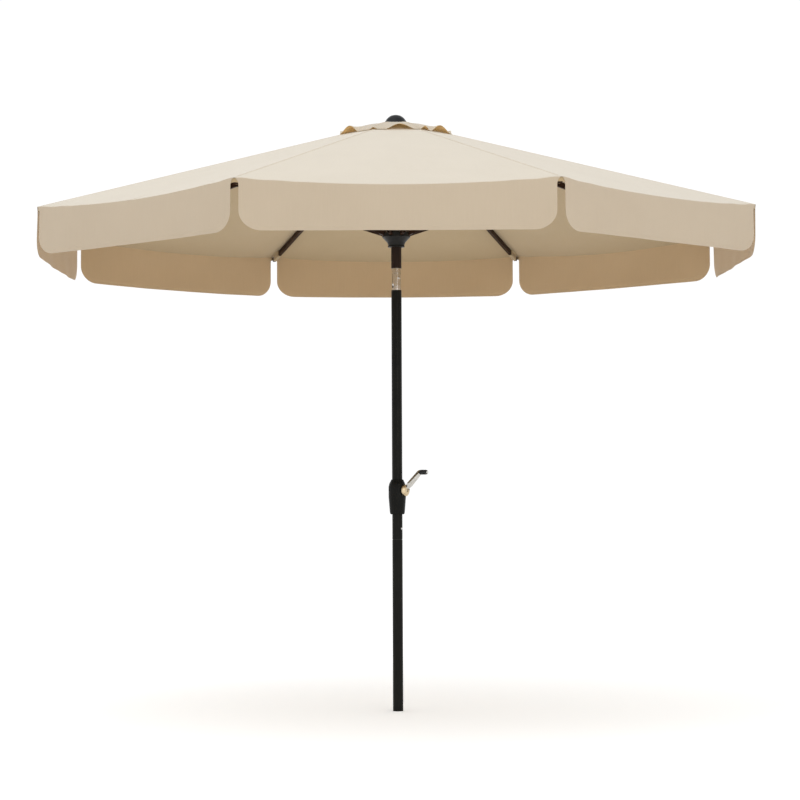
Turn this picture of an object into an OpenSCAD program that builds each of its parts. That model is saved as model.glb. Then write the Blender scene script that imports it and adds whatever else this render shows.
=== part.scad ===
/* [Pole] */
// Outside diameter of the pole tubes
pole_d = 38; // [34:1:46]
// Wall of the pole tubes
pole_wall = 1.5; // [1:0.1:2.2]
// Height of the joint between the lower pole and the main pole
pole_joint_z = 628; // [420:1:640]
// Height of the snap button above that joint
snap_rise = 41; // [34:1:50]
// Length of the inner sleeve below and above the joint
coupler_grip = 70; // [60:1:75]
// Direction of the crank and the snap button around the pole
crank_azimuth = -36.87; // [-60:0.01:-20]

/* [Canopy] */
// Radius of the canopy at the rib tips
canopy_r = 1350; // [1200:1:1650]
// Height of the canopy at the rib tips
rim_z = 1798; // [1700:1:2200]
// Slope of the open ribs
rib_slope = 15.6; // [13:0.1:18]
// Thickness of the cloth
cloth_t = 1.2; // [0.8:0.1:2]
// How far the hem sags between two ribs
hem_sag = 22; // [0:1:40]
// Height of a valance flap at the rib tips
flap_h = 167; // [100:1:200]
// Width of the slit between two flaps
slit_w = 30; // [16:1:40]
// Radius of a flap's lower corners
flap_corner_r = 64; // [20:1:70]
// Radius of the hole that the vent covers
vent_hole_r = 110; // [90:1:150]
// Radius of the vent at its corners
vent_r = 222; // [212:1:260]
// Height of the arches along the vent's edge
vent_arch_h = 22; // [0:1:30]

/* [Ribs and struts] */
// Width of a rib
rib_w = 12; // [10:0.5:14]
// Height of a rib
rib_h = 18; // [14:0.5:20]
// Wall of the ribs and struts
rib_wall = 1.2; // [0.8:0.1:1.6]
// Gap between a rib and the cloth, where the seam lies
seam_gap = 3; // [2:0.5:5]
// Distance of the rib ends inside the canopy's corners
rib_inset = 12; // [10:1:30]
// Length of a strut between its two pivots, which is also the bracket's distance from the hub pivot
strut_len = 615; // [560:1:640]
// Height of a strut
strut_h = 14; // [12:0.5:16]
// Drop of the strut bracket's pivot below the middle of the rib
bracket_drop = 34; // [26:1:40]
// Radius of the ring of pivots in the hub and in the runner
pivot_ring_r = 42; // [40:1:50]
// Radius of the pins in the hub, the brackets and the runner
pin_r = 3; // [2:0.1:3.5]

/* [Hub, runner and finial] */
// Radius of the hub
hub_r = 50; // [49:1:60]
// Radius of the runner's rim
runner_r = 52; // [51:1:62]
// Radius of the runner's lower collar
runner_collar_r = 31; // [28:1:36]
// Clearance of the runner around the pole
runner_gap = 1; // [0.5:0.1:2]
// Height of the finial above the hub
finial_h = 34; // [20:1:60]

/* [Crank] */
// Height of the crank shaft
crank_z = 809; // [780:1:830]
// How far the crank housing stands out from the pole at its widest
housing_swell = 13; // [12:0.5:21]
// Height of the crank housing
housing_h = 128; // [110:1:150]
// Distance between the crank shaft and the knob's axis
arm_reach = 76; // [60:1:100]
// How far the arm slopes away from the pole
arm_rise = 36; // [20:1:50]
// Angle of the arm from upright
arm_angle = 29; // [0:1:60]
// Length of the knob
knob_l = 30; // [24:1:50]
// Radius of the knob
knob_r = 9; // [7:0.5:12]

/* [Tilt joint] */
// Height of the lower end of the bright barrel
tilt_z = 1548; // [1400:1:1560]
// Height of the bright barrel
tilt_h = 81; // [80:1:100]
// Radius of the bright barrel
tilt_r = 17; // [16:0.1:17]
// Height of the tilt pivot in the barrel
tilt_pivot_rise = 24; // [22:1:26]
// Largest lean of the upper pole
tilt_angle = 30; // [10:1:32]
// Direction of the tilt button around the pole
button_azimuth = -53.13; // [-90:0.01:0]

/* [Hidden] */
$fn = 64;
SIDES = 8;

PAINT = [0.16, 0.13, 0.11];
PLASTIC = [0.12, 0.12, 0.11];
CHROME = [0.72, 0.71, 0.7];
STEEL = [0.6, 0.6, 0.6];
BRASS = [0.78, 0.66, 0.44];
CLOTH = [0.87, 0.81, 0.7];
CORD = [0.85, 0.85, 0.82];

running = 0.05;       // radial clearance of a pin in its bore
fixed_gap = 0.1;      // gap between two pieces that are fixed together
joint_gap = 1.5;      // gap where the two pole tubes meet
cloth_gap = 0.4;      // gap between two pieces of cloth
pole_r = pole_d / 2;
bore_r = pole_r - pole_wall;
half_side = 180 / SIDES;
snap_z = pole_joint_z + snap_rise;

// The canopy: ribs run to the corners, and each panel lies between two ribs
apothem = canopy_r * cos(half_side);
hem_half_w = canopy_r * sin(half_side);
vent_hole_d = vent_hole_r * cos(half_side);
vent_edge_d = vent_r * cos(half_side);
function rib_azimuth(i) = -90 - half_side + 2 * half_side * (i - 1);
function seam_z(r) = rim_z + tan(rib_slope) * (canopy_r - r);

// The folding frame: rib and strut make an isosceles triangle with the pole
rib_below = (cloth_t + seam_gap + rib_h / 2) / cos(rib_slope);
hub_z = seam_z(pivot_ring_r) - rib_below;
bracket_x = sqrt(strut_len * strut_len - bracket_drop * bracket_drop);
strut_slope = rib_slope + asin(bracket_drop / strut_len);
runner_z = hub_z - 2 * strut_len * sin(strut_slope);
rib_len = (canopy_r - rib_inset - pivot_ring_r) / cos(rib_slope);
strut_w = rib_w - 0.8;
slot_w = rib_w + 0.6;
eye_r = 5.5;          // rounded inner end of a rib
end_cap_l = 5;
corner_pin_r = 1.8;
pin_l = slot_w + 12;  // pin in the hub or the runner, with both ends in the walls

// The hub and what sits on it
hub_top_z = hub_z + 13;
vent_top_z = hub_top_z + 2.2;
finial_z = vent_top_z + 0.5;
core_r = pivot_ring_r - 9.5;

// The lift cord's way over the pulley
cord_r = 1.5;
pulley_r = 9;
cord_turn_r = pulley_r + cord_r + 0.2;
cord_side_y = pole_r + cord_r + 1.2;
pulley_y = cord_side_y - cord_turn_r;
pulley_z = hub_z - 6;

// The crank
shaft_r = 5;
spool_r = 13;
spool_l = 20;
housing_r = pole_r + housing_swell;
boss_r = 21;
boss_d = 14;
boss_at = housing_r + 1;
knob_at = boss_at + boss_d / 2 + arm_rise;

// The tilt joint
pivot_z = tilt_z + tilt_pivot_rise;
button_rise = 22;
ear_r = 40;
tongue_w = 8;
lock_r = 2;
plug_l = 36;

module tube(r_out, r_in, h) {
  difference() {
    cylinder(r = r_out, h = h);
    translate([0, 0, -1]) cylinder(r = r_in, h = h + 2);
  }
}

// Lays a cylinder along +X from x = a to x = b
module bar_x(r, a, b) {
  translate([a, 0, 0]) rotate([0, 90, 0]) cylinder(r = r, h = b - a);
}

// Lays a cylinder along Y, centred
module bar_y(r, l) {
  rotate([90, 0, 0]) cylinder(r = r, h = l, center = true);
}

// Extrudes an outline drawn in X and Z by a width along Y, centred
module side_plate(w) {
  rotate([90, 0, 0]) linear_extrude(w, center = true) children();
}

module at_crank() {
  translate([0, 0, crank_z]) rotate([0, 0, crank_azimuth]) children();
}

module at_snap() {
  translate([0, 0, snap_z]) rotate([0, 0, crank_azimuth]) children();
}

// Tilt frame: origin on the pivot, Y along the pivot and towards the button's far side
module at_tilt() {
  translate([0, 0, pivot_z]) rotate([0, 0, button_azimuth + 90]) children();
}

module at_pivot_ring(i, z) {
  rotate([0, 0, rib_azimuth(i)]) translate([pivot_ring_r, 0, z]) children();
}

module at_rib(i) {
  at_pivot_ring(i, hub_z) rotate([0, rib_slope, 0]) children();
}

// ---- Pole ----

module lower_pole() {
  color(PAINT) tube(pole_r, bore_r, pole_joint_z);
}

module pole_foot() {
  color(PLASTIC) difference() {
    cylinder(r = bore_r - fixed_gap, h = 24);
    translate([0, 0, 3]) cylinder(r = bore_r - 3.5, h = 24);
  }
}

module pole_coupler() {
  color(STEEL) difference() {
    translate([0, 0, pole_joint_z - coupler_grip]) tube(bore_r - fixed_gap, bore_r - 1.6, 2 * coupler_grip);
    at_snap() bar_x(4.2, 0, pole_r);
  }
}

module snap_button() {
  color(STEEL) at_snap() {
    bar_x(4, bore_r - 3.4, pole_r + 1);
    translate([pole_r + 1, 0, 0]) rotate([0, 90, 0]) cylinder(r1 = 4, r2 = 2.4, h = 1.6);
    bar_x(6, bore_r - 4.4, bore_r - 3.2);
  }
}

// A bent leaf that pushes the button outwards
module snap_spring() {
  color(STEEL) at_snap() side_plate(7) {
    polygon([
      [bore_r - 4.6, 9], [bore_r - 5.4, 9], [bore_r - 5.4, -10], [-6, -46],
      [5 - bore_r, -12], [4.2 - bore_r, -12], [-6.4, -48], [-5.6, -48], [bore_r - 4.6, -10]
    ]);
  }
}

module main_pole() {
  color(PAINT) difference() {
    translate([0, 0, pole_joint_z + joint_gap]) tube(pole_r, bore_r, tilt_z - pole_joint_z - joint_gap);
    at_snap() bar_x(4.2, 0, pole_r + 1);
    at_crank() bar_x(shaft_r + 0.6, 0, pole_r + 1);
    at_crank() bar_x(spool_r + 1, -pole_r - 1, 0);
  }
}

// ---- Crank ----

// Half outline of the housing: straight waist, tapered shoulders
module housing_outline(inset) {
  top = crank_z + 40 - inset;
  base = crank_z + 40 - housing_h + inset;
  wide = housing_r - inset;
  neck = pole_r + 3.5 - inset;
  polygon([
    [pole_r + fixed_gap, base], [neck + 3, base], [neck + 5, base + 6], [wide, crank_z - 24],
    [wide, crank_z + 13], [wide - 2.5, crank_z + 24], [neck + 1, top - 3], [neck, top],
    [pole_r + fixed_gap, top]
  ]);
}

// One half of the hollow housing, split square to the crank shaft
module housing_shell(side) {
  wall = 3;
  shut = 0.05;
  difference() {
    rotate_extrude() housing_outline(0);
    rotate_extrude() intersection() {
      housing_outline(wall);
      translate([0, crank_z + 40 - housing_h + 4 * wall]) square([housing_r, housing_h - 8 * wall]);
    }
    at_crank() translate([side > 0 ? shut - housing_h : -shut, -housing_h / 2, -housing_h])
      cube([housing_h, housing_h, 2 * housing_h]);
  }
}

screw_y = pole_r + 6.5;

module screw_post(side) {
  for (s = [-1, 1]) translate([0, s * screw_y, 0]) bar_x(3.6, side > 0 ? 0.05 : -14, side > 0 ? 12 : -0.05);
}

module crank_housing_front() {
  color(PLASTIC) difference() {
    union() {
      housing_shell(1);
      at_crank() screw_post(1);
      at_crank() bar_x(9, pole_r + 0.5, housing_r - 1);
    }
    at_crank() bar_x(shaft_r + running, 0, 60);
    for (s = [-1, 1]) at_crank() translate([0, s * screw_y, 0]) bar_x(1.6, -1, 9);
  }
}

module crank_housing_back() {
  color(PLASTIC) difference() {
    union() {
      housing_shell(-1);
      at_crank() screw_post(-1);
    }
    for (s = [-1, 1]) at_crank() translate([0, s * screw_y, 0]) {
      bar_x(1.8, -12, 1);
      bar_x(3.1, -60, -9);
    }
  }
}

module housing_screws() {
  color(STEEL) for (s = [-1, 1]) at_crank() translate([0, s * screw_y, 0]) difference() {
    union() {
      bar_x(1.5, -9.1, 8);
      bar_x(2.9, -11.5, -9.1);
    }
    translate([-11.6, -2, -0.4]) cube([1, 4, 0.8]);
  }
}

// Drum for the lift cord, in one piece with the shaft
module crank_spool() {
  color(STEEL) at_crank() {
    bar_x(spool_r, -spool_l / 2, -spool_l / 2 + 2);
    bar_x(8, -spool_l / 2, spool_l / 2);
    bar_x(spool_r, spool_l / 2 - 2, spool_l / 2);
    bar_x(shaft_r, 0, boss_at + boss_d - 3);
  }
}

module crank_boss() {
  seat = boss_at + 3.9;
  seat_l = 5.3;
  color(BRASS) difference() {
    at_crank() rotate([0, 90, 0]) rotate_extrude() polygon([
      [shaft_r + fixed_gap, boss_at], [boss_r - 2, boss_at], [boss_r, boss_at + 2], [boss_r, boss_at + 8],
      [boss_r - 5, boss_at + boss_d - 2], [boss_r - 9, boss_at + boss_d],
      [shaft_r + fixed_gap, boss_at + boss_d]
    ]);
    // Seat of the arm, open towards the knob
    at_arm() {
      translate([seat, -7.2, -6.2]) cube([seat_l, 14.4, 40]);
      translate([seat, -12, 5.5]) cube([boss_d, 24, 40]);
    }
  }
}

// Arm frame: in the crank's plane, Z towards the knob's axis
module at_arm() {
  at_crank() rotate([-arm_angle, 0, 0]) children();
}

module crank_arm() {
  root_x = boss_at + 4;
  tip_x = knob_at - 2.5;
  color(STEEL) at_arm() {
    difference() {
      intersection() {
        side_plate(30) polygon([
          [root_x, -6], [root_x, 12], [tip_x - 2, arm_reach + 5], [tip_x, arm_reach + 8],
          [tip_x + 5, arm_reach + 8], [tip_x + 5, arm_reach - 8], [root_x + 9, 12], [root_x + 5, 6],
          [root_x + 5, -6]
        ]);
        rotate([90, 0, 90]) linear_extrude(200) polygon([
          [-7, -7], [7, -7], [7, 11], [11.5, 24], [7, arm_reach], [4, arm_reach + 7],
          [-4, arm_reach + 7], [-7, arm_reach], [-11.5, 24], [-7, 11]
        ]);
      }
      bar_x(shaft_r + fixed_gap, 0, boss_at + 20);
    }
    translate([0, 0, arm_reach]) {
      bar_x(3, tip_x + 2, knob_at + 3 + knob_l + 0.4);
      bar_x(5.5, knob_at + 3.4 + knob_l, knob_at + 5.4 + knob_l);
    }
  }
}

module crank_knob() {
  pitch = 6.2;
  last = floor((knob_l - 8.1) / pitch);
  color(PLASTIC) at_arm() translate([knob_at + 3, 0, arm_reach]) rotate([0, 90, 0]) difference() {
    rotate_extrude() polygon(concat(
      [[3 + running, 0], [knob_r - 1.5, 0]],
      [for (k = [0:last])
        each [[knob_r, 2 + pitch * k], [knob_r, 5.4 + pitch * k], [knob_r - 1, 6.6 + pitch * k]]],
      [[knob_r - 1, knob_l - 1], [knob_r - 2.5, knob_l], [3 + running, knob_l]]
    ));
  }
}

module lift_cord_lower() {
  cord_y = 8 + cord_r + 0.2;
  color(CORD) at_crank() translate([0, -cord_y, 0]) cylinder(r = cord_r, h = tilt_z - plug_l - 2 - crank_z);
}

// ---- Tilt joint ----

module tilt_fork() {
  slot = tongue_w + 0.6;
  color(CHROME) difference() {
    union() {
      translate([0, 0, tilt_z - plug_l]) cylinder(r = bore_r - fixed_gap, h = plug_l);
      at_tilt() intersection() {
        bar_y(ear_r, 2 * tilt_r);
        translate([0, 0, fixed_gap - tilt_pivot_rise]) cylinder(r = tilt_r, h = 80);
      }
      translate([0, 0, tilt_z - 0.5]) cylinder(r = bore_r - 1, h = 1);
    }
    at_tilt() {
      translate([-30, -slot / 2, -15]) cube([60, slot, 80]);
      bar_y(4 + running, 60);
      translate([0, 0, button_rise]) bar_y(lock_r + running, 60);
      translate([0, -tilt_r, button_rise]) bar_y(5.2, 14);
    }
    // Way for the lift cord through the plug
    translate([0, 0, tilt_z - plug_l - 1]) cylinder(r = bore_r - 5, h = plug_l - 4);
  }
}

module tilt_pin() {
  color(CHROME) at_tilt() bar_y(4, 2 * tilt_r - 1.6);
}

// The tongue leans with the upper pole, round the pivot
module tilt_tongue() {
  color(CHROME) difference() {
    union() {
      at_tilt() side_plate(tongue_w) {
        circle(r = 14);
        translate([-15.5, 0]) square([31, tilt_h - tilt_pivot_rise - 8]);
      }
      at_tilt() difference() {
        cylinder(r = tilt_r, h = tilt_h - tilt_pivot_rise - fixed_gap);
        bar_y(ear_r + cloth_gap, 60);
      }
      translate([0, 0, tilt_z + tilt_h - 1]) cylinder(r = bore_r - 1, h = 2);
      translate([0, 0, tilt_z + tilt_h]) cylinder(r = bore_r - fixed_gap, h = plug_l);
    }
    at_tilt() {
      bar_y(4 + running, 60);
      // Slot that the locking pin runs in as the tongue turns
      rotate([90, 0, 0]) linear_extrude(60, center = true) {
        intersection() {
          difference() {
            circle(r = button_rise + lock_r + 0.2);
            circle(r = button_rise - lock_r - 0.2);
          }
          polygon([[0, 0], [0, 60], [-60 * sin(tilt_angle), 60 * cos(tilt_angle)]]);
        }
        translate([0, button_rise]) circle(r = lock_r + 0.2);
        rotate(tilt_angle) translate([0, button_rise]) circle(r = lock_r + 0.2);
      }
    }
    translate([0, 0, tilt_z + tilt_h + 6]) cylinder(r = bore_r - 5, h = plug_l);
  }
}

// Push button with its locking pin
module tilt_button() {
  color(CHROME) at_tilt() translate([0, 0, button_rise]) rotate([90, 0, 0]) {
    translate([0, 0, -tilt_r + 3.6]) cylinder(r = lock_r, h = 2 * tilt_r - 5);
    translate([0, 0, tilt_r - 3.4]) cylinder(r = 5, h = 4.4);
    translate([0, 0, tilt_r + 1]) cylinder(r1 = 5, r2 = 3.8, h = 1);
  }
}

function coil_point(a, r, wire, s, sides, pitch) = [
  (r + wire * cos(360 * s / sides)) * cos(a),
  (r + wire * cos(360 * s / sides)) * sin(a),
  pitch * a / 360 + wire * sin(360 * s / sides)
];

// Coil spring round the locking pin
module button_spring() {
  turns = 4;
  steps = 12 * turns;
  sides = 6;
  pitch = 0.72;
  color(STEEL) at_tilt() translate([0, -tilt_r + 6.6, button_rise]) rotate([90, 0, 0]) polyhedron(
    points = [for (k = [0:steps]) for (s = [0:sides - 1]) coil_point(30 * k, 3.4, 0.3, s, sides, pitch)],
    faces = concat(
      [[for (s = [0:sides - 1]) s]],
      [for (k = [0:steps - 1]) for (s = [0:sides - 1])
        let (t = (s + 1) % sides)
        each [
          [k * sides + s, (k + 1) * sides + s, k * sides + t],
          [k * sides + t, (k + 1) * sides + s, (k + 1) * sides + t]
        ]],
      [[for (s = [0:sides - 1]) steps * sides + sides - 1 - s]]
    )
  );
}

// ---- Upper pole, hub and finial ----

module upper_pole() {
  color(PAINT) difference() {
    translate([0, 0, tilt_z + tilt_h]) tube(pole_r, bore_r, hub_top_z - 2 - tilt_z - tilt_h);
    // Window for the pulley
    translate([-4, 0, pulley_z - 16]) cube([8, 40, 60]);
  }
}

module top_hub() {
  collar_r = pole_r + 10;
  color(PLASTIC) difference() {
    rotate_extrude() polygon([
      [pole_r + fixed_gap, hub_z - 34], [collar_r - 2, hub_z - 34], [collar_r, hub_z - 32],
      [core_r - 1, hub_z - 16],
      [hub_r - 4, hub_z - 12], [hub_r, hub_z - 8], [hub_r, hub_top_z], [pole_r + fixed_gap, hub_top_z]
    ]);
    for (i = [1:SIDES]) at_pivot_ring(i, hub_z) {
      translate([core_r - pivot_ring_r, -slot_w / 2, -60]) cube([60, slot_w, 120]);
      bar_y(pin_r + running, pin_l + 0.4);
      translate([-pin_r - running, -pin_l / 2 - 0.2, 0]) cube([2 * (pin_r + running), pin_l + 0.4, 20]);
    }
    translate([-4, 0, hub_z - 40]) cube([8, cord_side_y + 3, 60]);
  }
}

// Pins of the ribs, and the pulley's axle
module hub_pins() {
  color(STEEL) {
    for (i = [1:SIDES]) at_pivot_ring(i, hub_z) bar_y(pin_r, pin_l);
    translate([-5, pulley_y, pulley_z]) bar_x(1.5, 0, 10);
  }
}

// Bell-shaped cap with its stud, over the vent cloth
module finial() {
  brim = hub_r + 1;
  color(PLASTIC) {
    translate([0, 0, finial_z]) rotate_extrude() polygon([
      [0, 0], [brim, 0], [brim, 1.6], [brim - 4, 2.8], [brim - 9, 5.6], [brim - 13.5, finial_h * 0.37],
      [brim - 18, finial_h * 0.57], [brim - 25, finial_h * 0.77], [brim - 33, finial_h * 0.915],
      [brim - 41, finial_h * 0.98], [0, finial_h]
    ]);
    translate([0, 0, hub_top_z + 0.2]) cylinder(r = 12, h = 3);
  }
}

module cord_pulley() {
  color(PLASTIC) translate([0, pulley_y, pulley_z]) rotate([0, 90, 0]) {
    rotate_extrude() polygon([
      [1.55, -2.6], [pulley_r + 1.6, -2.6], [pulley_r + 1.6, -2], [pulley_r, -0.8], [pulley_r, 0.8],
      [pulley_r + 1.6, 2], [pulley_r + 1.6, 2.6], [1.55, 2.6]
    ]);
  }
}

module lift_cord_upper() {
  color(CORD) {
    low = tilt_z + tilt_h + plug_l + 2;
    run_in = 0.8;   // how far the straight runs reach into the turn
    translate([0, pulley_y - cord_turn_r, low]) cylinder(r = cord_r, h = pulley_z + run_in - low);
    translate([0, pulley_y, pulley_z]) rotate([90, 0, 90]) rotate_extrude(angle = 180)
      translate([cord_turn_r, 0]) circle(r = cord_r + running);
    translate([0, cord_side_y, hub_z - 32]) cylinder(r = cord_r, h = pulley_z + run_in - hub_z + 32);
  }
}

// The cord's end, tied to the runner
module lift_cord_runner() {
  top = hub_z - 34;
  color(CORD) {
    translate([0, cord_side_y, runner_z + 8.5]) cylinder(r = cord_r, h = top - runner_z - 8.5);
    translate([0, cord_side_y, runner_z + 11.2]) sphere(r = 2.6, $fn = 32);
  }
}

// ---- Runner ----

module runner() {
  color(PLASTIC) difference() {
    rotate_extrude() polygon([
      [pole_r + runner_gap, runner_z - 46], [runner_collar_r, runner_z - 46],
      [runner_collar_r, runner_z - 41], [runner_collar_r - 1.5, runner_z - 39.5],
      [runner_collar_r + 3, runner_z - 28], [runner_r - 4, runner_z - 13], [runner_r, runner_z - 9],
      [runner_r, runner_z + 7], [core_r - 3, runner_z + 8], [core_r - 4, runner_z + 22],
      [pole_r + runner_gap + 3, runner_z + 24], [pole_r + runner_gap, runner_z + 24]
    ]);
    for (i = [1:SIDES]) at_pivot_ring(i, runner_z) {
      translate([core_r - pivot_ring_r, -slot_w / 2, -strut_h / 2 - 1]) cube([60, slot_w, 60]);
      bar_y(pin_r + running, pin_l + 0.4);
      translate([-pin_r - running, -pin_l / 2 - 0.2, 0]) cube([2 * (pin_r + running), pin_l + 0.4, 20]);
    }
    // Pocket for the lift cord's knot
    translate([-4, 0, runner_z + 8]) cube([8, cord_side_y + 3.5, 20]);
  }
}

module runner_pins() {
  color(STEEL) for (i = [1:SIDES]) at_pivot_ring(i, runner_z) bar_y(pin_r, pin_l);
}

// ---- Ribs and struts ----

module rib(i) {
  tube_from = 15;
  cheek = rib_w / 2 + 2.2;
  inner_w = rib_w - 2 * rib_wall;
  inner_h = rib_h - 2 * rib_wall;
  color(PAINT) at_rib(i) {
    difference() {
      union() {
        translate([tube_from, -rib_w / 2, -rib_h / 2]) cube([rib_len - tube_from, rib_w, rib_h]);
        side_plate(rib_w - 2) {
          circle(r = eye_r);
          translate([0, -eye_r]) square([tube_from + 1, 2 * eye_r]);
        }
        translate([bracket_x, 0, 0]) side_plate(2 * cheek) {
          circle_z = -bracket_drop;
          polygon([[-22, 6], [22, 6], [22, -7], [8, circle_z], [-8, circle_z], [-22, -7]]);
          translate([0, circle_z]) circle(r = 8);
        }
      }
      translate([tube_from + 20, -inner_w / 2, -inner_h / 2]) cube([rib_len, inner_w, inner_h]);
      bar_y(pin_r + running, 30);
      translate([bracket_x, 0, -bracket_drop]) bar_y(pin_r + running, 40);
      translate([bracket_x - 30, -rib_w / 2, -rib_h / 2 - 60]) cube([60, rib_w, 60]);
    }
    // Rivet of the strut
    translate([bracket_x, 0, -bracket_drop]) {
      bar_y(pin_r, 2 * cheek + 0.4);
      for (s = [-1, 1]) translate([0, s * (cheek + 0.9), 0]) bar_y(pin_r + 2, 1.4);
    }
    // End cap, with the cross pin that holds the canopy's corner
    translate([rib_len + fixed_gap, -rib_w / 2, -rib_h / 2]) cube([end_cap_l, rib_w, rib_h]);
    translate([rib_len - 16, 0.2 - inner_w / 2, 0.2 - inner_h / 2]) cube([17, inner_w - 0.4, inner_h - 0.4]);
    translate([rib_len + end_cap_l / 2 + fixed_gap, 0, 0]) bar_y(corner_pin_r, rib_w + 5);
  }
}

// A channel, open underneath, with closed eyes at both ends
module strut(i) {
  fold_angle = 180 - rib_slope - strut_slope;
  color(PAINT) at_rib(i) translate([bracket_x, 0, -bracket_drop]) rotate([0, fold_angle, 0])
    difference() {
      side_plate(strut_w) {
        circle(r = strut_h / 2);
        translate([0, -strut_h / 2]) square([strut_len, strut_h]);
        translate([strut_len, 0]) circle(r = strut_h / 2);
      }
      for (x = [0, strut_len]) translate([x, 0, 0]) bar_y(pin_r + running, 30);
      translate([24, rib_wall - strut_w / 2, rib_wall - strut_h / 2])
        cube([strut_len - 48, strut_w - 2 * rib_wall, strut_h]);
    }
}

// ---- Canopy ----

across = 4;
along = 8;

function panel_top_z(d, v) =
  seam_z(d / cos(half_side)) - hem_sag * (1 - v * v) * pow(d / apothem, 3);

function vent_z(d, v) = let (x = max(0, (d - hub_r) / (vent_edge_d - hub_r)))
  vent_top_z - (vent_top_z - seam_z(vent_r) - cloth_t - 1) * pow(x, 3)
  + vent_arch_h * pow(x, 3) * pow(max(0, cos(90 * v / 0.8)), 2);

// Half the width of the cloth between the two seams at distance d from the pole
function cloth_half_w(d) = d * tan(half_side) - cloth_gap;

// Half a panel's cloth as a closed solid, from the seam on one side (-1 or 1) to the panel's middle
module half_sheet(side, rows, d_from, d_to, z_at) {
  cols = across + 1;
  n = (rows + 1) * cols;
  top = [for (j = [0:rows]) for (k = [0:across])
    let (
      d = d_from + (d_to - d_from) * j / rows,
      from_mid = side > 0 ? k / across : 1 - k / across,
      y = side * (cloth_gap / 2 + from_mid * (cloth_half_w(d) - cloth_gap / 2))
    )
    [d, y, z_at(d, y / (d * tan(half_side)))]];
  low = [for (p = top) p - [0, 0, cloth_t]];
  rim = concat(
    [for (k = [0:across]) k],
    [for (j = [1:rows]) j * cols + across],
    [for (k = [1:across]) rows * cols + across - k],
    [for (j = [1:rows - 1]) (rows - j) * cols]
  );
  polyhedron(
    points = concat(top, low),
    faces = concat(
      [for (j = [0:rows - 1]) for (k = [0:across - 1])
        let (a = j * cols + k)
        each [[a, a + 1, a + cols], [a + 1, a + cols + 1, a + cols]]],
      [for (j = [0:rows - 1]) for (k = [0:across - 1])
        let (a = n + j * cols + k)
        each [[a, a + cols, a + 1], [a + 1, a + cols, a + cols + 1]]],
      [for (k = [0:len(rim) - 1])
        let (a = rim[k], b = rim[(k + 1) % len(rim)])
        each [[a, n + a, b], [b, n + a, n + b]]]
    )
  );
}

// The cloth on both sides of rib i, each out to the middle of its panel
module canopy(i) {
  color(CLOTH) for (side = [-1, 1]) rotate([0, 0, rib_azimuth(i) - side * half_side]) {
    half_sheet(side, along, vent_hole_d, apothem, function(d, v) panel_top_z(d, v));
    half_sheet(side, 6, core_r, vent_edge_d, function(d, v) vent_z(d, v));
  }
}

// Outline of a flap that hangs from the hem between two slits
module flap_outline() {
  base = rim_z - flap_h;
  half_w = hem_half_w - slit_w / 2;
  top_gap = cloth_t + cloth_gap;
  translate([-half_w, base + flap_corner_r]) square([2 * half_w, flap_h - flap_corner_r - 30]);
  translate([flap_corner_r - half_w, base]) square([2 * (half_w - flap_corner_r), 2 * flap_corner_r]);
  for (s = [-1, 1]) translate([s * (half_w - flap_corner_r), base + flap_corner_r]) circle(r = flap_corner_r);
  polygon(concat(
    [[-half_w, rim_z - 31]],
    [for (k = [-across:across]) let (v = k / across)
      [v * (hem_half_w - 3), panel_top_z(apothem, v) - top_gap]],
    [[half_w, rim_z - 31]]
  ));
}

// The flaps' halves on both sides of rib i
module valance(i) {
  color(CLOTH) for (side = [-1, 1]) rotate([0, 0, rib_azimuth(i) - side * half_side])
    translate([apothem - cloth_t, 0, 0]) rotate([90, 0, 90]) linear_extrude(cloth_t) intersection() {
      flap_outline();
      translate([side > 0 ? cloth_gap / 2 : -hem_half_w, 0]) square([hem_half_w - cloth_gap / 2, rim_z]);
    }
}

lower_pole();
pole_foot();
pole_coupler();
snap_button();
snap_spring();
main_pole();
crank_housing_front();
crank_housing_back();
housing_screws();
crank_spool();
crank_boss();
crank_arm();
crank_knob();
lift_cord_lower();
tilt_fork();
tilt_pin();
tilt_button();
button_spring();
tilt_tongue();
upper_pole();
top_hub();
hub_pins();
finial();
cord_pulley();
lift_cord_upper();
lift_cord_runner();
runner();
runner_pins();
for (i = [1:SIDES]) rib(i);
for (i = [1:SIDES]) strut(i);
for (i = [1:SIDES]) canopy(i);
for (i = [1:SIDES]) valance(i);
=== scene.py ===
import math

import bpy
from mathutils import Matrix, Vector


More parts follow.
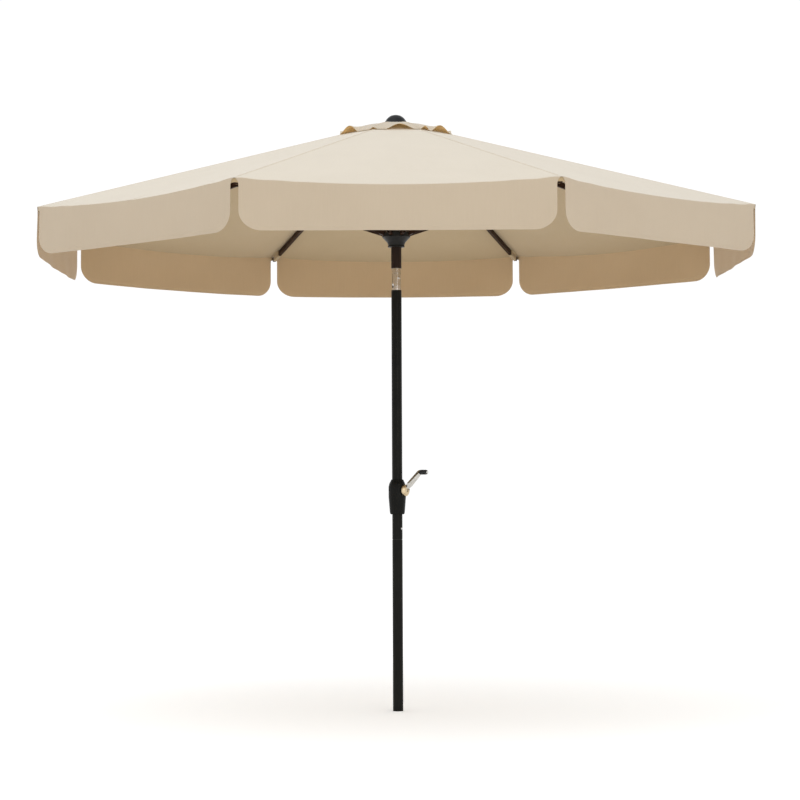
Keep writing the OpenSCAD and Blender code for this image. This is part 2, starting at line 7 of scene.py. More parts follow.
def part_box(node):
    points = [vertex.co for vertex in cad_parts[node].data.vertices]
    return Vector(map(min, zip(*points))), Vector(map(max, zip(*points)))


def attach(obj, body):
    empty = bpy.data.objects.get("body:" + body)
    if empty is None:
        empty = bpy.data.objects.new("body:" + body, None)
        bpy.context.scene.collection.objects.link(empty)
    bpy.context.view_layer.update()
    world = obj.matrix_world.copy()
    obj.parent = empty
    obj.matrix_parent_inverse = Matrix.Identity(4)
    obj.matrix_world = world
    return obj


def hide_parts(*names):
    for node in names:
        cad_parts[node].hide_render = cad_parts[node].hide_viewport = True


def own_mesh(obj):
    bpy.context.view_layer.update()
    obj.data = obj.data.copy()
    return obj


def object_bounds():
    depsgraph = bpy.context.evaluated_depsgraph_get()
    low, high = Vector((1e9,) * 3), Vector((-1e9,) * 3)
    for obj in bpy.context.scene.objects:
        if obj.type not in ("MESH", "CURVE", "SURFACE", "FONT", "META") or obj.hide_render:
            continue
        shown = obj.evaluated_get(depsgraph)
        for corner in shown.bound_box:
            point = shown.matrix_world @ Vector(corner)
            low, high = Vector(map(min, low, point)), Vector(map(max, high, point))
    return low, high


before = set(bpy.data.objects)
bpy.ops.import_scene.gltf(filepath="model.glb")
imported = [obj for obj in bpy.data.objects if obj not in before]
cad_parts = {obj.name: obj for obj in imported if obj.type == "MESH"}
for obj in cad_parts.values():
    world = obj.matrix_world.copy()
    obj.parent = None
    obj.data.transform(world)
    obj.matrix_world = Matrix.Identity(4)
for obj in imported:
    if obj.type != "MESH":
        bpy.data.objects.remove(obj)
cad_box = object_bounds()


# ---- Studio ----
# A pale floor under a white sky, with one broad lamp above and one in front.
# The camera stands a little over 8 m away, at waist height, and looks slightly up.
camera_place = Vector((-0.0399, -8.2919, 0.8336))
camera_turn, camera_tilt, camera_roll = -0.0062, 0.0372, -0.0042
sensor_width, lens = 36.0, 101.18
sky_strength = 1.03
floor_half = 60.0
floor_glow = 0.16

camera_data = bpy.data.cameras.new("camera")
camera_data.sensor_width = sensor_width
camera_data.lens = lens
camera_data.clip_end = 200.0
camera = bpy.data.objects.new("camera", camera_data)
bpy.context.scene.collection.objects.link(camera)
level_right = Vector((math.cos(camera_turn), math.sin(camera_turn), 0))
level_ahead = Vector((-math.sin(camera_turn), math.cos(camera_turn), 0))
ahead = level_ahead * math.cos(camera_tilt) + Vector((0, 0, math.sin(camera_tilt)))
level_up = -level_ahead * math.sin(camera_tilt) + Vector((0, 0, math.cos(camera_tilt)))
right = level_right * math.cos(camera_roll) + level_up * math.sin(camera_roll)
up = -level_right * math.sin(camera_roll) + level_up * math.cos(camera_roll)
camera.matrix_world = Matrix.Translation(camera_place) @ Matrix((right, up, -ahead)).transposed().to_4x4()
bpy.context.scene.camera = camera

world = bpy.data.worlds.new("sky")
world.use_nodes = True
sky = world.node_tree.nodes["Background"]
sky.inputs["Color"].default_value = (1.0, 1.0, 1.0, 1.0)
sky.inputs["Strength"].default_value = sky_strength
bpy.context.scene.world = world
bpy.context.scene.view_settings.view_transform = "Standard"


def lamp(name, place, aim, size, power):
    """A square lamp at a place, turned to face its aim."""
    data = bpy.data.lights.new(name, "AREA")
    data.size = size
    data.energy = power
    ob = bpy.data.objects.new(name, data)
    facing = (Vector(aim) - Vector(place)).to_track_quat("-Z", "Y")
    ob.matrix_world = Matrix.Translation(place) @ facing.to_matrix().to_4x4()
    bpy.context.scene.collection.objects.link(ob)


lamp("lamp_above", (-1.5, -2.0, 6.5), (0, 0, 1.5), 4.0, 60.0)
lamp("lamp_front", (2.5, -7.0, 3.0), (0, 0, 1.6), 3.0, 60.0)


def paint_noise(tree, coordinates, scale, detail, roughness=0.5):
    """Soft random patches, as a factor from 0 to 1."""
    node = tree.nodes.new("ShaderNodeTexNoise")
    node.inputs["Scale"].default_value = scale
    node.inputs["Detail"].default_value = detail
    node.inputs["Roughness"].default_value = roughness
    tree.links.new(coordinates, node.inputs["Vector"])
    return node.outputs["Fac"]


def spread(tree, factor, low, high):
    """Takes a texture from 0..1 to low..high."""
    node = tree.nodes.new("ShaderNodeMapRange")
    node.inputs["To Min"].default_value = low
    node.inputs["To Max"].default_value = high
    node.inputs["From Min"].default_value = 0.3
    node.inputs["From Max"].default_value = 0.7
    tree.links.new(factor, node.inputs["Value"])
    return node.outputs["Result"]


def blend_colours(tree, factor, first, second):
    """The first colour where the factor is 0, the second where it is 1."""
    node = tree.nodes.new("ShaderNodeMix")
    node.data_type = "RGBA"
    node.inputs["A"].default_value = (*first, 1.0)
    node.inputs["B"].default_value = (*second, 1.0)
    tree.links.new(factor, node.inputs["Factor"])
    return node.outputs["Result"]


def raise_surface(tree, height, depth, strength=1.0):
    """A surface normal that makes a texture look raised by a depth in metres."""
    node = tree.nodes.new("ShaderNodeBump")
    node.inputs["Distance"].default_value = depth
    node.inputs["Strength"].default_value = strength
    tree.links.new(height, node.inputs["Height"])
    return node.outputs["Normal"]


def hard_finish(name, light, dark, metal, rough, grain_scale, grain_depth,
                patch_scale=14.0, stretch=(1, 1, 1), gloss=0.5):
    """A hard surface: two close tones in patches, roughness that varies, and a fine grain."""
    made = bpy.data.materials.new(name)
    made.use_nodes = True
    tree = made.node_tree
    shader = tree.nodes["Principled BSDF"]
    shader.inputs["Metallic"].default_value = metal
    shader.inputs["Specular IOR Level"].default_value = gloss
    place = tree.nodes.new("ShaderNodeTexCoord").outputs["Object"]
    turn = tree.nodes.new("ShaderNodeMapping")
    turn.inputs["Scale"].default_value = stretch
    tree.links.new(place, turn.inputs["Vector"])
    patches = paint_noise(tree, turn.outputs["Vector"], patch_scale, 5.0, 0.6)
    grain = paint_noise(tree, turn.outputs["Vector"], grain_scale, 3.0)
    tone = spread(tree, patches, 0.0, 1.0)
    tree.links.new(blend_colours(tree, tone, light, dark), shader.inputs["Base Color"])
    tree.links.new(spread(tree, patches, rough * 0.8, rough * 1.2), shader.inputs["Roughness"])
    tree.links.new(raise_surface(tree, grain, grain_depth), shader.inputs["Normal"])
    return made


floor_mesh = bpy.data.meshes.new("floor")
floor_mesh.from_pydata([(-floor_half, -floor_half, 0), (floor_half, -floor_half, 0),
                        (floor_half, floor_half, 0), (-floor_half, floor_half, 0)], [], [(0, 1, 2, 3)])
floor = bpy.data.objects.new("floor", floor_mesh)
bpy.context.scene.collection.objects.link(floor)
floor_paint = hard_finish("floor_paint", (0.95, 0.95, 0.945), (0.93, 0.93, 0.925), 0.0, 0.9, 30.0, 0.0002)
floor_shader = floor_paint.node_tree.nodes["Principled BSDF"]
floor_shader.inputs["Emission Color"].default_value = (1.0, 1.0, 1.0, 1.0)
floor_shader.inputs["Emission Strength"].default_value = floor_glow
floor_mesh.materials.append(floor_paint)


def dress(node, material):
    """Gives a CAD piece its finish."""
    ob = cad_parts[node]
    ob.data.materials.clear()
    ob.data.materials.append(material)


# ---- Pole ----
# Steel tube with a dark powder coat, in two lengths joined by an inner sleeve.
# A leaf spring pushes a button through both tubes to lock them.
along_tube = (1, 1, 12)
pole_coat = hard_finish("pole_coat", (0.009, 0.009, 0.007), (0.006, 0.006, 0.005), 0.0, 0.34,
                        1400.0, 0.00006, gloss=0.09)
upper_coat = hard_finish("upper_pole_coat", (0.022, 0.011, 0.007), (0.015, 0.008, 0.006), 0.0, 0.36,
                         1400.0, 0.00006, gloss=0.18)
bare_steel = hard_finish("bare_steel", (0.62, 0.62, 0.61), (0.50, 0.50, 0.50), 1.0, 0.32,
                         500.0, 0.00005, 20.0, along_tube)
foot_plastic = hard_finish("foot_plastic", (0.020, 0.020, 0.019), (0.014, 0.014, 0.014), 0.0, 0.5,
                           2200.0, 0.0001)
for node in ("lower_pole", "main_pole"):
    dress(node, pole_coat)
dress("upper_pole", upper_coat)
dress("pole_foot", foot_plastic)
sleeve_steel = hard_finish("sleeve_steel", (0.030, 0.029, 0.027), (0.020, 0.019, 0.018), 0.6, 0.4,
                           500.0, 0.00005, 20.0, along_tube)
dress("pole_coupler", sleeve_steel)
for node in ("snap_button", "snap_spring"):
    dress(node, bare_steel)


# ---- Crank ----
# Moulded housing in two halves, held by two screws. The shaft carries a spool inside,
# and outside it a gold coloured boss, a cast tapered arm and a ribbed knob that turns on it.
housing_plastic = hard_finish("housing_plastic", (0.008, 0.008, 0.007), (0.005, 0.005, 0.004), 0.0, 0.42,
                              2600.0, 0.00008, gloss=0.09)
knob_plastic = hard_finish("knob_plastic", (0.016, 0.016, 0.017), (0.010, 0.010, 0.011), 0.0, 0.5,
                           2600.0, 0.00012, gloss=0.3)
gold_plate = hard_finish("gold_plate", (0.66, 0.54, 0.36), (0.54, 0.43, 0.27), 1.0, 0.38,
                         700.0, 0.00004, 60.0)
cast_arm = hard_finish("cast_arm", (0.66, 0.65, 0.62), (0.50, 0.49, 0.46), 1.0, 0.34, 900.0, 0.00008, 60.0)
for node in ("crank_housing_front", "crank_housing_back"):
    dress(node, housing_plastic)
dress("housing_screws", bare_steel)
dress("crank_spool", bare_steel)
dress("crank_boss", gold_plate)
dress("crank_arm", cast_arm)
dress("crank_knob", knob_plastic)


# ---- Tilt joint ----
# Plated fork and tongue that make one bright barrel. The push button draws a pin
# along a slot in the tongue, and a pin below it is the pivot.
bright_plate = hard_finish("bright_plate", (0.74, 0.73, 0.71), (0.69, 0.68, 0.66), 1.0, 0.13,
                           300.0, 0.000002, 30.0, (1, 1, 6))
for node in ("tilt_fork", "tilt_tongue", "tilt_pin", "tilt_button"):
    dress(node, bright_plate)
dress("button_spring", bare_steel)


# ---- Hub, finial and runner ----
# Moulded plastic. The hub and the runner have eight slots with steel pins,
# and the finial clamps the vent cloth down on the hub.
hub_plastic = hard_finish("hub_plastic", (0.010, 0.009, 0.008), (0.006, 0.006, 0.005), 0.0, 0.45,
                          2400.0, 0.00008, gloss=0.22)
finial_plastic = hard_finish("finial_plastic", (0.010, 0.011, 0.013), (0.007, 0.008, 0.009), 0.0, 0.42,
                             2400.0, 0.00006, gloss=0.14)
for node in ("top_hub", "runner", "cord_pulley"):
    dress(node, hub_plastic)
dress("finial", finial_plastic)
for node in ("hub_pins", "runner_pins"):
    dress(node, bare_steel)


# ---- Ribs and struts ----
# Eight rectangular steel tubes with a dark brown coat, and eight channel struts riveted to them.
rib_coat = hard_finish("rib_coat", (0.034, 0.015, 0.008), (0.024, 0.011, 0.006), 0.0, 0.45,
                       1500.0, 0.00006, gloss=0.1)
for i in range(1, 9):
    dress(f"rib_{i}", rib_coat)
    dress(f"strut_{i}", rib_coat)


# ---- Lift cord ----
# Braided polyester cord from the spool, up inside the pole, over the pulley and down to the runner.
cord_braid = hard_finish("cord_braid", (0.72, 0.71, 0.66), (0.50, 0.49, 0.45), 0.0, 0.8,
                         900.0, 0.0004, 700.0, (1, 1, 0.5))
for node in ("lift_cord_lower", "lift_cord_upper", "lift_cord_runner"):
    dress(node, cord_braid)


# ---- Canopy ----
# Eight triangular panels of woven polyester, sewn together over the ribs and stretched
# by them. Each piece here is the cloth round one rib, out to the middle of its two panels.
half_side = math.pi / 8
rib_slope = math.radians(15.6)
hem_sag = 0.022
cad_cloth = 0.0012
vent_hole_r = 0.085
cloth_thickness = 0.0007
heavy_cloth = 0.0009
pull_h = 0.0016
sway_h = 0.0025
thread_scale = 330.0
weave_depth = 0.00012
streak_scale = (260.0, 9.0, 1.0)
apothem = cad_box[1].x
rim_r = apothem / math.cos(half_side)
rim_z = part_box("canopy_1")[0].z + hem_sag + cad_cloth
rib_turn = [math.radians(-112.5 + 45.0 * i) for i in range(8)]
outward = [Vector((math.cos(t), math.sin(t), 0)) for t in rib_turn]
tangent = [Vector((-math.sin(t), math.cos(t), 0)) for t in rib_turn]


def seam_z(r):
    """Height of a seam, r metres out along its rib."""
    return rim_z + math.tan(rib_slope) * (rim_r - r)


def panel_half_width(d):
    return d * math.tan(half_side)


def panel_place(turn, d, side, z):
    """A point of a panel, d metres out along its middle line and side metres to its left."""
    return Vector((d * math.cos(turn) - side * math.sin(turn), d * math.sin(turn) + side * math.cos(turn), z))


def canopy_z(turn, d, side):
    """Top of the main cloth: straight along the seams, slack between them near the hem."""
    f = d / apothem
    v = max(-1.0, min(1.0, side / panel_half_width(d)))
    z = seam_z(d / math.cos(half_side)) - hem_sag * (1 - v * v) * f ** 3
    pull = math.sin(9.0 * math.pi * abs(v)) * math.exp(-((1 - f) / 0.12) ** 2) * abs(v) ** 3
    sway = math.cos(1.7 * v) * math.sin(math.pi * f + 2.3 * turn) * (1 - v * v) ** 2 * f
    return z + pull_h * pull + sway_h * sway


def woven(name, light, dark, glow):
    """Plain weave with slubs and faint streaks. Some of the light comes through, as the glow says."""
    made = bpy.data.materials.new(name)
    made.use_nodes = True
    tree = made.node_tree
    shader = tree.nodes["Principled BSDF"]
    shader.inputs["Roughness"].default_value = 0.8
    shader.inputs["Specular IOR Level"].default_value = 0.25
    shader.inputs["Sheen Weight"].default_value = 0.35
    shader.inputs["Sheen Roughness"].default_value = 0.45
    cloth = tree.nodes.new("ShaderNodeUVMap")
    cloth.uv_map = "cloth"
    threads = []
    for direction in ("X", "Y"):
        wave = tree.nodes.new("ShaderNodeTexWave")
        wave.wave_type = "BANDS"
        wave.bands_direction = direction
        wave.inputs["Scale"].default_value = thread_scale
        wave.inputs["Distortion"].default_value = 0.6
        wave.inputs["Detail"].default_value = 1.0
        tree.links.new(cloth.outputs["UV"], wave.inputs["Vector"])
        threads.append(wave.outputs["Fac"])
    weave = tree.nodes.new("ShaderNodeMath")
    weave.operation = "MULTIPLY"
    tree.links.new(threads[0], weave.inputs[0])
    tree.links.new(threads[1], weave.inputs[1])
    tone = paint_noise(tree, cloth.outputs["UV"], 3.5, 6.0, 0.6)
    streak_turn = tree.nodes.new("ShaderNodeMapping")
    streak_turn.inputs["Scale"].default_value = streak_scale
    tree.links.new(cloth.outputs["UV"], streak_turn.inputs["Vector"])
    streaks = paint_noise(tree, streak_turn.outputs["Vector"], 1.0, 2.0)
    both = tree.nodes.new("ShaderNodeMath")
    both.operation = "MULTIPLY_ADD"
    tree.links.new(streaks, both.inputs[0])
    both.inputs[1].default_value = 0.5
    tree.links.new(tone, both.inputs[2])
    shift = spread(tree, both.outputs["Value"], 0.0, 1.0)
    shift.node.inputs["From Min"].default_value = 0.45
    shift.node.inputs["From Max"].default_value = 1.05
    colour = blend_colours(tree, shift, light, dark)
    normal = raise_surface(tree, weave.outputs["Value"], weave_depth, 0.6)
    tree.links.new(colour, shader.inputs["Base Color"])
    tree.links.new(normal, shader.inputs["Normal"])
    through = tree.nodes.new("ShaderNodeBsdfTranslucent")
    tree.links.new(colour, through.inputs["Color"])
    share = tree.nodes.new("ShaderNodeMixShader")
    share.inputs[0].default_value = glow
    tree.links.new(shader.outputs["BSDF"], share.inputs[1])
    tree.links.new(through.outputs["BSDF"], share.inputs[2])
    tree.links.new(share.outputs["Shader"], tree.nodes["Material Output"].inputs["Surface"])
    return made


# Painted light: the top is a lighter, less yellow copy of the flap cloth, for the sky light and sheen that
# fall on it.
cloth_top_painted_light = woven("canopy_cloth", (0.675, 0.61, 0.50), (0.635, 0.57, 0.46), 0.12)
# Painted shade: the underside is a darker, more golden copy of the same cloth, for the shade under the canopy
# and the warm light through it.
underside_painted_shade = woven("canopy_underside_painted_shade", (0.45, 0.335, 0.19), (0.415, 0.31, 0.172), 0.12)
flap_cloth = woven("flap_cloth", (0.54, 0.45, 0.335), (0.51, 0.42, 0.31), 0.16)
# Painted light: the flaps' inner side is a brighter, more golden copy of the cloth, for the sky light coming
# through from behind.
flap_inner_painted_light = woven("flap_inner_cloth_painted_light", (0.67, 0.495, 0.30), (0.625, 0.46, 0.275), 0.24)
thread_finish = hard_finish("sewing_thread", (0.60, 0.51, 0.38), (0.52, 0.43, 0.31), 0.0, 0.7,
                            3000.0, 0.0001, 400.0)
stitch_pitch = 0.0045
stitch_l = 0.0032
thread_r = 0.00035


def sheet_piece(name, rows, flat_rows, outer, inner, thickness=cloth_thickness):
    """A cloth piece from a grid of points on its outer face, with the flat cut as its UV map."""
    mesh = bpy.data.meshes.new(name)
    cols = len(rows[0])
    flats = [p for row in flat_rows for p in row]
    faces = []
    for j in range(len(rows) - 1):
        for k in range(cols - 1):
            first = j * cols + k
            faces.append((first, first + cols, first + cols + 1, first + 1))
    mesh.from_pydata([p for row in rows for p in row], [], faces)
    layer = mesh.uv_layers.new(name="cloth")
    for loop in mesh.loops:
        layer.data[loop.index].uv = flats[loop.vertex_index]
    mesh.materials.append(outer)
    mesh.materials.append(inner)
    ob = bpy.data.objects.new(name, mesh)
    bpy.context.scene.collection.objects.link(ob)
    shell = ob.modifiers.new("cloth", "SOLIDIFY")
    shell.thickness = thickness
    shell.offset = -1.0
    shell.material_offset = 1
    return settle(ob)


def settle(ob):
    """Turns a piece and its modifiers into a plain mesh, smooth but for its cut edges."""
    made = bpy.data.meshes.new_from_object(ob.evaluated_get(bpy.context.evaluated_depsgraph_get()))
    ob.modifiers.clear()
    ob.data = made
    made.name = ob.name
    made.shade_smooth()
    made.set_sharp_from_angle(angle=math.radians(50))
    return ob


def stitch_tree():
    """Lays short round stitches, end to end with small gaps, along every edge of a seam."""
    tree = bpy.data.node_groups.new("stitches_along_seam", "GeometryNodeTree")
    face = tree.interface
    face.new_socket("Seam", in_out="INPUT", socket_type="NodeSocketGeometry")
    sizes = {}
    for label, value in (("Pitch", stitch_pitch), ("Stitch Length", stitch_l), ("Thread Radius", thread_r)):
        sizes[label] = face.new_socket(label, in_out="INPUT", socket_type="NodeSocketFloat")
        sizes[label].default_value = value
    thread = face.new_socket("Thread", in_out="INPUT", socket_type="NodeSocketMaterial")
    sizes["Thread"] = thread
    face.new_socket("Stitches", in_out="OUTPUT", socket_type="NodeSocketGeometry")
    start = tree.nodes.new("NodeGroupInput")
    line = tree.nodes.new("GeometryNodeMeshToCurve")
    steps = tree.nodes.new("GeometryNodeResampleCurve")
    steps.mode = "LENGTH"
    way = tree.nodes.new("GeometryNodeInputTangent")
    turn = tree.nodes.new("FunctionNodeAlignRotationToVector")
    turn.axis = "Z"
    stitch = tree.nodes.new("GeometryNodeMeshCylinder")
    stitch.inputs["Vertices"].default_value = 6
    place = tree.nodes.new("GeometryNodeInstanceOnPoints")
    real = tree.nodes.new("GeometryNodeRealizeInstances")
    dye = tree.nodes.new("GeometryNodeSetMaterial")
    end = tree.nodes.new("NodeGroupOutput")
    link = tree.links.new
    link(start.outputs["Seam"], line.inputs["Mesh"])
    link(line.outputs["Curve"], steps.inputs["Curve"])
    link(start.outputs["Pitch"], steps.inputs["Length"])
    link(start.outputs["Thread Radius"], stitch.inputs["Radius"])
    link(start.outputs["Stitch Length"], stitch.inputs["Depth"])
    link(way.outputs["Tangent"], turn.inputs["Vector"])
    link(steps.outputs["Curve"], place.inputs["Points"])
    link(stitch.outputs["Mesh"], place.inputs["Instance"])
    link(turn.outputs["Rotation"], place.inputs["Rotation"])
    link(place.outputs["Instances"], real.inputs["Geometry"])
    link(real.outputs["Geometry"], dye.inputs["Geometry"])
    link(start.outputs["Thread"], dye.inputs["Material"])
    link(dye.outputs["Geometry"], end.inputs["Stitches"])
    return tree, sizes


seam_stitches, stitch_sizes = stitch_tree()


def sew(name, seams, pitch=stitch_pitch):
    """A row of stitches along each seam, which is a list of points."""
    points, edges = [], []
    for seam in seams:
        edges += [(len(points) + k, len(points) + k + 1) for k in range(len(seam) - 1)]
        points += seam
    mesh = bpy.data.meshes.new(name)
    mesh.from_pydata(points, edges, [])
    ob = bpy.data.objects.new(name, mesh)
    bpy.context.scene.collection.objects.link(ob)
    rows = ob.modifiers.new("stitches", "NODES")
    rows.node_group = seam_stitches
    rows[stitch_sizes["Pitch"].identifier] = pitch
    rows[stitch_sizes["Thread"].identifier] = thread_finish
    return settle(ob)


ridge_half = 0.0045
ridge_rise = 0.0007
seam_inset = ridge_half * 0.62
hem_steps = 40


def round_rib(i, d_rows, z_at, across):
    """Rows of points round rib i, from the middle of one panel over the seam to the middle of the next."""
    rows, flats = [], []
    for d in d_rows:
        width = panel_half_width(d)
        near = [0.0, ridge_half * 0.8, ridge_half, ridge_half * 1.6]
        offsets = near + [near[-1] + (width - near[-1]) * k / across for k in range(1, across + 1)]
        row, flat = [], []
        for side in (-1, 1):
            steps = offsets[:0:-1] if side < 0 else offsets
            for step in steps:
                turn = rib_turn[i] + side * half_side
                place = side * (step - width)
                rise = ridge_rise if step < ridge_half else 0.0
                row.append(panel_place(turn, d, place, z_at(turn, d, place) + rise))
                flat.append((side * step, d / math.cos(rib_slope)))
        rows.append(row)
        flats.append(flat)
    return rows, flats


def rib_seams(i, d_rows, z_at, lift):
    """Two rows of stitches on the felled seam over rib i."""
    seams = []
    for side in (-1, 1):
        turn = rib_turn[i] + side * half_side
        seam = []
        for d in d_rows:
            place = side * (seam_inset - panel_half_width(d))
            seam.append(panel_place(turn, d, place, z_at(turn, d, place) + lift))
        seams.append(seam)
    return seams


def hem_seams(i, d, z_at, lift):
    """A row of stitches along the hem, on both sides of rib i."""
    seams = []
    for side in (-1, 1):
        turn = rib_turn[i] + side * half_side
        seam = []
        for k in range(hem_steps):
            place = -side * panel_half_width(d) * k / hem_steps
            seam.append(panel_place(turn, d, place, z_at(turn, d, place) + lift))
        seams.append(seam)
    return seams


hole_d = vent_hole_r * math.cos(half_side)
canopy_steps = 60
canopy_across = 28
canopy_rows = [hole_d + (apothem - hole_d) * j / canopy_steps for j in range(canopy_steps + 1)]
stitch_lift = 0.0001
hem_inset = 0.006
for i in range(8):
    rows, flats = round_rib(i, canopy_rows, canopy_z, canopy_across)
    panel = sheet_piece(f"canopy_cloth_{i + 1}", rows, flats, cloth_top_painted_light, underside_painted_shade)
    threads = sew(f"canopy_stitches_{i + 1}",
                  rib_seams(i, canopy_rows[1:-1], canopy_z, ridge_rise + stitch_lift)
                  + hem_seams(i, apothem - hem_inset, canopy_z, stitch_lift))
    for piece in (panel, threads):
        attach(piece, f"rib_{i + 1}")
        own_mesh(piece)
    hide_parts(f"canopy_{i + 1}")


# ---- Vent ----
# A small second roof over the hole at the top. Its edge is gathered a little,
# so that it lifts in arches and lets warm air out.
vent_cloth = woven("vent_cloth", (0.72, 0.65, 0.53), (0.68, 0.615, 0.49), 0.34)
# Painted light: the underside is bright gold, for the light that comes through the vent cloth into the shade
# below it.
vent_underside_painted_light = woven("vent_underside_cloth_painted_light", (0.95, 0.73, 0.40), (0.92, 0.69, 0.35), 0.66)
hub_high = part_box("top_hub")[1]
hub_r = hub_high.x
vent_inner_r = 0.036
vent_r = 0.222
vent_edge_d = vent_r * math.cos(half_side)
vent_rest = 0.0022
vent_top_z = hub_high.z + vent_rest
vent_hem = 0.009
vent_steps = 26
vent_across = 18
vent_pitch = 0.004
# Each arch: direction in degrees, width and height
arches = [(-86, 0.100, 0.020), (-145, 0.088, 0.026), (-38, 0.096, 0.025), (-60, 0.044, 0.014),
          (-112, 0.030, 0.006), (2, 0.084, 0.026), (47, 0.082, 0.024), (92, 0.078, 0.028),
          (134, 0.084, 0.022), (178, 0.078, 0.026), (24, 0.034, 0.010), (113, 0.036, 0.010),
          (-163, 0.036, 0.010)]


def vent_z(turn, d, side):
    """Top of the vent cloth: down from the hub to the canopy, with the arches lifted at its edge."""
    x = max(0.0, (d - hub_r) / (vent_edge_d - hub_r))
    place = math.degrees(turn + math.atan2(side, d))
    lift = 0.0
    for middle, width, height in arches:
        off = (place - middle + 180.0) % 360.0 - 180.0
        along = math.radians(off) * vent_edge_d / (width / 2)
        if abs(along) < 1.0:
            lift += height * math.cos(along * math.pi / 2) ** 1.3
    hem = ridge_rise if d > vent_edge_d - vent_hem else 0.0
    return vent_top_z - (vent_top_z - seam_z(vent_r) - vent_rest) * x ** 1.6 + lift * x ** 4 + hem


vent_field_d = vent_edge_d - 0.0095
vent_rows = [vent_inner_r + (vent_field_d - vent_inner_r) * j / vent_steps for j in range(vent_steps + 1)]
vent_rows += [vent_edge_d - 0.0085, vent_edge_d - 0.004, vent_edge_d]
for i in range(8):
    rows, flats = round_rib(i, vent_rows, vent_z, vent_across)
    gore = sheet_piece(f"vent_cloth_{i + 1}", rows, flats, vent_cloth, vent_underside_painted_light)
    threads = sew(f"vent_stitches_{i + 1}",
                  rib_seams(i, vent_rows[4:-1], vent_z, ridge_rise + stitch_lift)
                  + hem_seams(i, vent_edge_d - hem_inset, vent_z, stitch_lift), vent_pitch)
    for piece in (gore, threads):
        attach(piece, f"rib_{i + 1}")
        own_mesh(piece)
    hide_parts(f"canopy_{i + 1}")


# ---- Corner pockets ----
# A short sleeve of the same cloth, sewn under each corner, that the rib's end slides into.
# It stops short of the end, so the dark cap of the rib shows in the slit.
pocket_l = 0.060
pocket_half_w = 0.0078
pocket_drop = 0.0245
pocket_end = 0.022
pocket_round = 0.004
pocket_steps = 12
for i in range(8):
    rows, flats = [], []
    outline = [(-pocket_half_w - 0.006, -0.0036), (-pocket_half_w - 0.002, -0.0032),
               (-pocket_half_w, -0.0050)]
    outline += [(-pocket_half_w, -pocket_drop * k / 5) for k in range(2, 5)]
    for k in range(9):
        a = math.pi * k / 8
        outline.append((-pocket_half_w * math.cos(a),
                        -pocket_drop + pocket_round - pocket_round * math.sin(a)))
    outline += [(-x, z) for x, z in reversed(outline[:6])]
    for j in range(pocket_steps + 1):
        r = rim_r - pocket_end - pocket_l * j / pocket_steps
        along = j / pocket_steps
        bulge = 1 + 0.05 * math.sin(math.pi * along) + 0.03 * math.sin(5.0 * along + i)
        row, flat, run = [], [], 0.0
        for k, (x, z) in enumerate(outline):
            if k > 0:
                run += math.hypot(x - outline[k - 1][0], z - outline[k - 1][1])
            row.append(outward[i] * r + tangent[i] * (x * bulge) + Vector((0, 0, seam_z(r) - cad_cloth + z)))
            flat.append((run, pocket_l * j / pocket_steps))
        rows.append(row)
        flats.append(flat)
    # Both faces take the underside's painted shade colour.
    pocket = sheet_piece(f"corner_pocket_{i + 1}", rows, flats, underside_painted_shade, underside_painted_shade, heavy_cloth)
    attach(pocket, f"rib_{i + 1}")


# ---- Corner tabs ----
# The seam allowance of each corner hangs down a little, over the top of the rib's end cap.
tab_half_w = 0.013
tab_drop = 0.0125
tab_steps = 6
for i in range(8):
    rows, flats = [], []
    for j in range(tab_steps + 1):
        row, flat = [], []
        for k in range(-tab_steps, tab_steps + 1):
            x = tab_half_w * k / tab_steps
            bow = (0.0012 * math.cos(math.pi * k / (2 * tab_steps))
                   - 0.0008 * math.sin(math.pi * j / tab_steps))
            row.append(outward[i] * (rim_r - 0.0045 + bow) + tangent[i] * x
                       + Vector((0, 0, rim_z - 0.0015 - tab_drop * j / tab_steps - abs(x) * 0.12)))
            flat.append((x, -tab_drop * j / tab_steps))
        rows.append(row)
        flats.append(flat)
    # Both faces take the underside's painted shade colour.
    tab = sheet_piece(f"corner_tab_{i + 1}", rows, flats, underside_painted_shade, underside_painted_shade, heavy_cloth)
    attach(tab, f"rib_{i + 1}")


# ---- Valance ----
# Eight flaps that hang from the hem, with a slit at each rib and round lower corners.
# Each half flap is a piece of its own, because it folds with the nearest rib.
flap_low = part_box("valance_1")[0].z
flap_h = rim_z - flap_low
slit_half = 0.015
corner_w = 0.074
corner_h = 0.064
hem_half_w = panel_half_width(apothem)
flap_half_w = hem_half_w - slit_half
hem_band = 0.012
flap_steps = 36
flap_across = 44
slit_flare_h = 0.022


def flap_edge(height):
    """Half the flap's width at a height above its lower edge."""
    if height < corner_h:
        return flap_half_w - corner_w + corner_w * math.sqrt(max(0.0, 1 - (1 - height / corner_h) ** 2))
    near_top = max(0.0, (height - flap_h + slit_flare_h) / slit_flare_h)
    return flap_half_w + (slit_half - 0.004) * near_top ** 2


def edge_distance(side, height):
    """How far a point of the flap is from its slit edge, corner or lower edge."""
    to_slit = flap_half_w - abs(side)
    if to_slit < corner_w and height < corner_h:
        return corner_h * (1 - math.hypot(1 - to_slit / corner_w, 1 - height / corner_h))
    return min(to_slit, height)


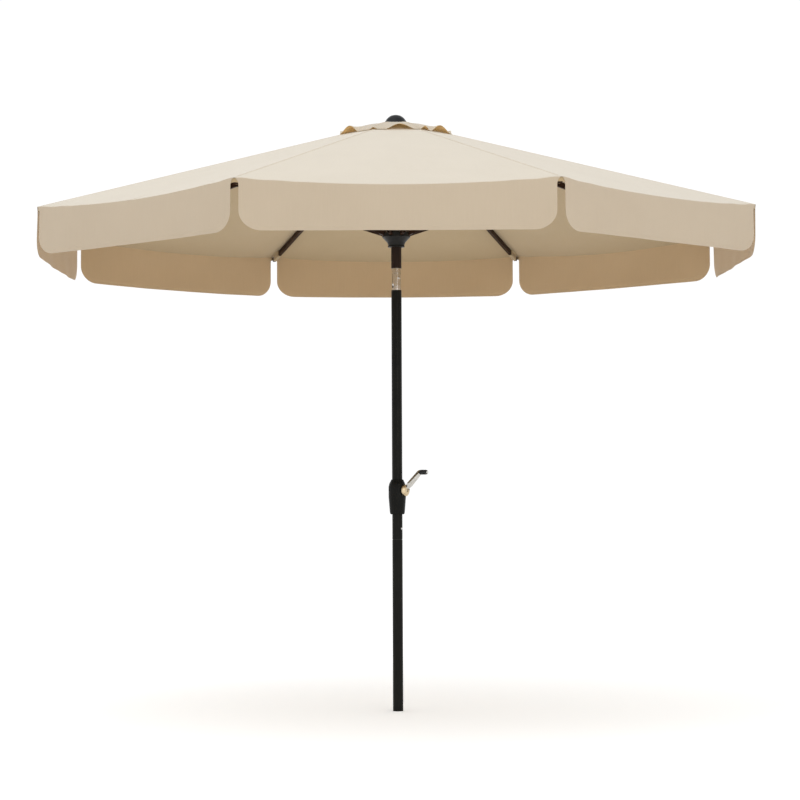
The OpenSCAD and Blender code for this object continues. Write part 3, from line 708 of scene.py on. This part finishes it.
def flap_place(turn, side, fall, proud=0.0):
    """A point of the flap, side metres from its middle and fall (0 to 1) down from the hem."""
    v = max(-1.0, min(1.0, side / hem_half_w))
    top = canopy_z(turn, apothem, side)
    sag = (0.0035 - 0.0035 * math.cos(turn + 0.9)) * (1 - v * v)
    z = top + (flap_low - sag - top) * fall
    wave = math.sin(side * 15.0 + 2.1 * turn) + 0.6 * math.sin(side * 31.0 + 1.3 * turn)
    out = 0.0022 * wave * fall ** 1.4 + 0.004 * math.sin(math.pi * fall) * (1 - v * v) + 0.0015 * fall
    if edge_distance(side, flap_h * (1 - fall)) < hem_band:
        out += ridge_rise
    return panel_place(turn, apothem + out + proud, side, z)


def hem_path(turn, side):
    """The stitch line of a half flap's hem: down the slit edge, round the corner, and to the middle."""
    inset = hem_band - 0.002
    path = [(flap_half_w - inset, height) for height in (flap_h - hem_band, flap_h * 0.7, corner_h + 0.01)]
    for k in range(13):
        a = math.pi / 2 * k / 12
        path.append((flap_half_w - corner_w + (corner_w - inset) * math.cos(a),
                     corner_h - (corner_h - inset) * math.sin(a)))
    path += [((flap_half_w - corner_w) * (1 - k / 24), inset) for k in range(1, 25)]
    return [flap_place(turn, -side * x, 1 - height / flap_h, stitch_lift) for x, height in path]


for i in range(8):
    for side in (-1, 1):
        turn = rib_turn[i] + side * half_side
        rows, flats = [], []
        for j in range(flap_steps + 1):
            fall = math.sin(j / flap_steps * math.pi / 2)
            width = flap_edge(flap_h * (1 - fall))
            places = [-side * width * math.sin((1 - k / flap_across) * math.pi / 2)
                      for k in range(flap_across + 1)]
            if side > 0:
                places.reverse()
            rows.append([flap_place(turn, place, fall) for place in places[::-1]])
            flats.append([(place, flap_h * (1 - fall)) for place in places[::-1]])
        label = f"{i + 1}_{'left' if side < 0 else 'right'}"
        flap = sheet_piece(f"valance_flap_{label}", rows, flats, flap_cloth, flap_inner_painted_light)
        threads = sew(f"valance_stitches_{label}", [hem_path(turn, side)])
        for piece in (flap, threads):
            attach(piece, f"valance_{i + 1}")
            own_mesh(piece)
        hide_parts(f"valance_{i + 1}")
